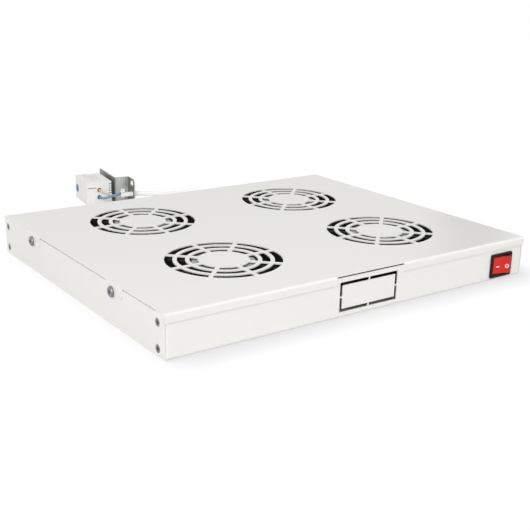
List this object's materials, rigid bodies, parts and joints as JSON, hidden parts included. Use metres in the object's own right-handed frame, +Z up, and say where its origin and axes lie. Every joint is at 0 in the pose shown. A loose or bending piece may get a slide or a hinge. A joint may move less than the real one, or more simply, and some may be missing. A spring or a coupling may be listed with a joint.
{
  "type": "rack fan tray",
  "caption": "Flat sheet-metal fan tray for equipment racks: axial fans under round slotted grilles, a rocker switch and a cabled thermostat on a bracket.",
  "frame": {"origin": "centre of the case's underside, without the thermostat that lies behind it", "axes": "+X along the front from left to right, +Y from the front to the rear, +Z up"},
  "size_m": [0.4472, 0.5751, 0.0415],
  "materials": {
    "powder_coat": "fine satin powder coat",
    "fan_casting": "black satin paint on cast aluminium",
    "fan_plastic": "moulded, satin",
    "label_foil": "matt foil",
    "bearing_bronze": "sintered, oiled",
    "motor_steel": "laminated, varnished",
    "zinc_steel": "bright zinc plate",
    "switch_black": "moulded, satin",
    "switch_red": "translucent, polished",
    "switch_mark": "printed",
    "contact_metal": "plated",
    "inlet_black": "moulded, satin",
    "gland_grey": "moulded, satin",
    "block_nylon": "moulded, satin",
    "lead_insulation": "extruded",
    "thermostat_plastic": "moulded, fine texture",
    "knob_blue": "moulded, satin",
    "clip_plastic": "moulded, satin",
    "galvanised_steel": "dull zinc",
    "tie_nylon": "moulded",
    "sheath_white": "extruded, satin",
    "core_blue": "extruded, satin",
    "core_brown": "extruded, satin"
  },
  "bodies": {
    "tray": {"base_pan": "powder_coat", "top_cover": "powder_coat", "side_panel_left": "powder_coat", "side_panel_right": "powder_coat", "cover_screws": "zinc_steel", "corner_screws": "zinc_steel", "fan_screws": "zinc_steel", "fan_nuts": "zinc_steel", "switch_housing": "switch_black", "switch_terminals": "contact_metal", "power_inlet": "inlet_black", "inlet_pins": "contact_metal", "inlet_screws": "zinc_steel", "gland_body": "gland_grey", "gland_cap": "gland_grey", "gland_locknut": "gland_grey", "terminal_block": "block_nylon", "terminal_clamps": "contact_metal", "fan_leads": "lead_insulation", "switch_leads": "lead_insulation", "supply_leads": "lead_insulation", "thermostat_cover": "thermostat_plastic", "thermostat_base": "thermostat_plastic", "thermostat_terminals": "contact_metal", "thermostat_clip": "clip_plastic", "thermostat_bracket": "galvanised_steel", "cable_tie": "tie_nylon", "core_blue": "core_blue", "core_brown": "core_brown", "thermostat_cable": "sheath_white", "fan_frame_1": "fan_casting", "fan_label_1": "label_foil", "fan_bearing_1": "bearing_bronze", "fan_stator_1": "motor_steel", "fan_frame_2": "fan_casting", "fan_label_2": "label_foil", "fan_bearing_2": "bearing_bronze", "fan_stator_2": "motor_steel", "fan_frame_3": "fan_casting", "fan_label_3": "label_foil", "fan_bearing_3": "bearing_bronze", "fan_stator_3": "motor_steel", "fan_frame_4": "fan_casting", "fan_label_4": "label_foil", "fan_bearing_4": "bearing_bronze", "fan_stator_4": "motor_steel"},
    "rocker": {"switch_rocker": "switch_red", "switch_marks": "switch_mark"},
    "knob": {"thermostat_knob": "knob_blue"},
    "impeller_1": {"fan_impeller_1": "fan_plastic", "fan_shaft_1": "zinc_steel"},
    "impeller_2": {"fan_impeller_2": "fan_plastic", "fan_shaft_2": "zinc_steel"},
    "impeller_3": {"fan_impeller_3": "fan_plastic", "fan_shaft_3": "zinc_steel"},
    "impeller_4": {"fan_impeller_4": "fan_plastic", "fan_shaft_4": "zinc_steel"}
  },
  "joints": [
    {"name": "rocker_tilt", "type": "hinge", "parent": "tray", "child": "rocker", "pos_m": [0.1865, -0.1809, 0.0156], "axis": [0, 0, 1], "range_deg": [0, 26]},
    {"name": "knob_turn", "type": "hinge", "parent": "tray", "child": "knob", "pos_m": [-0.04785, 0.37382, 0.0146], "axis": [0.9898, -0.1426, 0], "range_deg": [-135, 135]},
    {"name": "fan_spin_1", "type": "hinge", "parent": "tray", "child": "impeller_1", "pos_m": [-0.0985, -0.0807, 0.02], "axis": [0, 0, 1], "continuous": true},
    {"name": "fan_spin_2", "type": "hinge", "parent": "tray", "child": "impeller_2", "pos_m": [0.1029, -0.0807, 0.02], "axis": [0, 0, 1], "continuous": true},
    {"name": "fan_spin_3", "type": "hinge", "parent": "tray", "child": "impeller_3", "pos_m": [-0.0985, 0.0846, 0.02], "axis": [0, 0, 1], "continuous": true},
    {"name": "fan_spin_4", "type": "hinge", "parent": "tray", "child": "impeller_4", "pos_m": [0.1029, 0.0846, 0.02], "axis": [0, 0, 1], "continuous": true}
  ]
}
